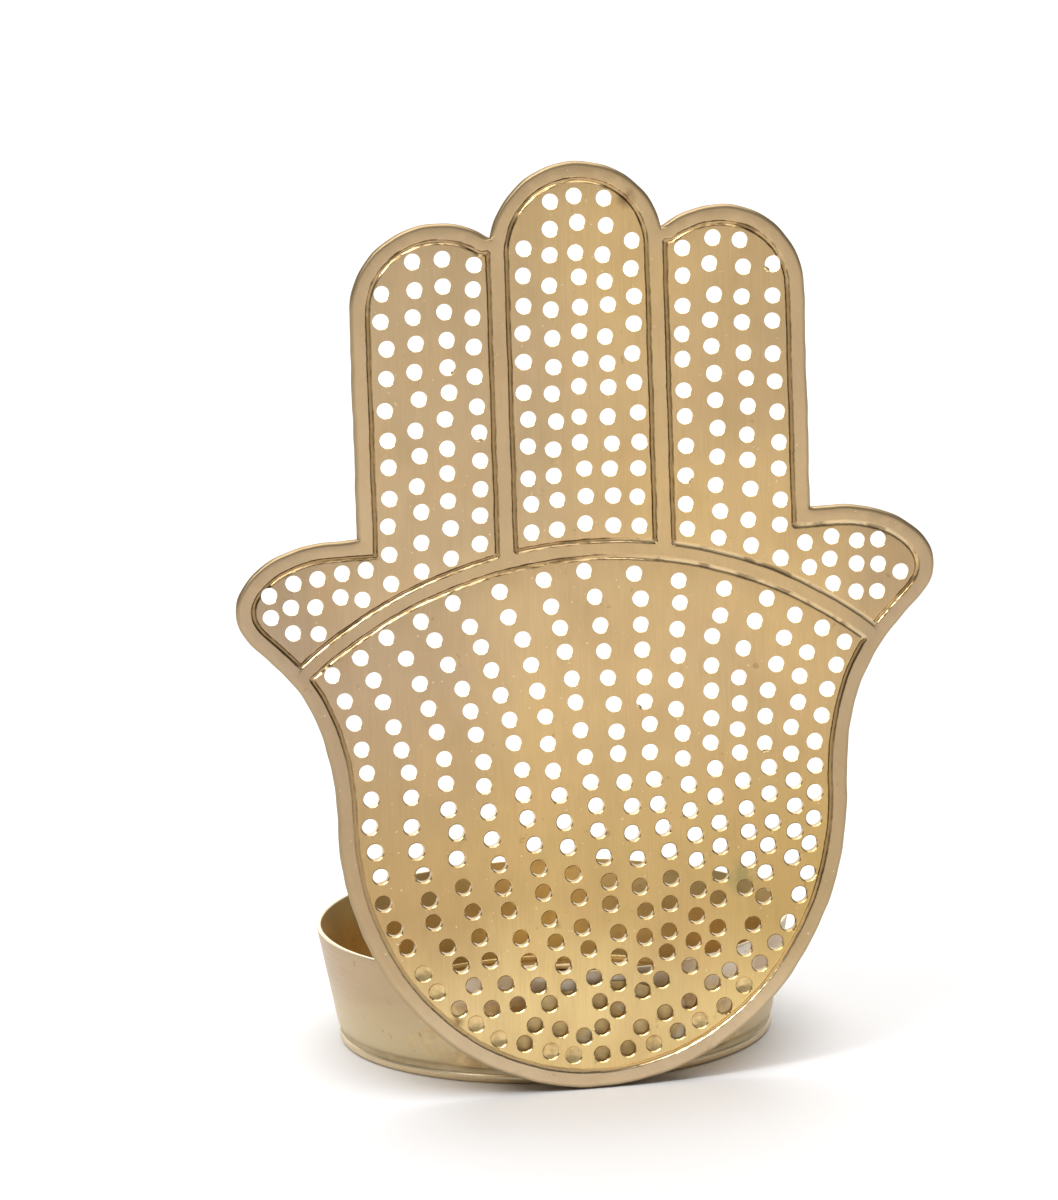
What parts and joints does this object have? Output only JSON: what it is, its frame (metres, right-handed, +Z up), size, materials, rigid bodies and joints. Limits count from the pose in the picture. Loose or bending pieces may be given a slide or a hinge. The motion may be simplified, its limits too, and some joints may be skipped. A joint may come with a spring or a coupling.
{
  "type": "hamsa tealight holder",
  "caption": "Upright pierced brass hand (hamsa) screen soldered to the front of a shallow round brass cup that holds a tealight.",
  "frame": {"origin": "centre of the underside of the base disc, on the surface that the holder stands on", "axes": "+Z up, +X to the right seen from the front, +Y from the hand back to the cup, so the hand faces -Y"},
  "size_m": [0.0688, 0.0473, 0.0919],
  "materials": {
    "brushed_brass": "sheet brass with a fine vertical brushed grain, chased lines and light tarnish",
    "spun_brass": "plain satin sheet brass, browner inside the cup",
    "base_brass": "satin sheet brass with a bright cut edge",
    "soft_solder": "dull greyish solder with brown flux stains"
  },
  "bodies": {
    "root": {"hand_plate": "brushed_brass", "cup_wall": "spun_brass", "base_disc": "base_brass", "base_seam_solder": "soft_solder", "left_solder_fillet": "soft_solder", "right_solder_fillet": "soft_solder"}
  },
  "joints": []
}
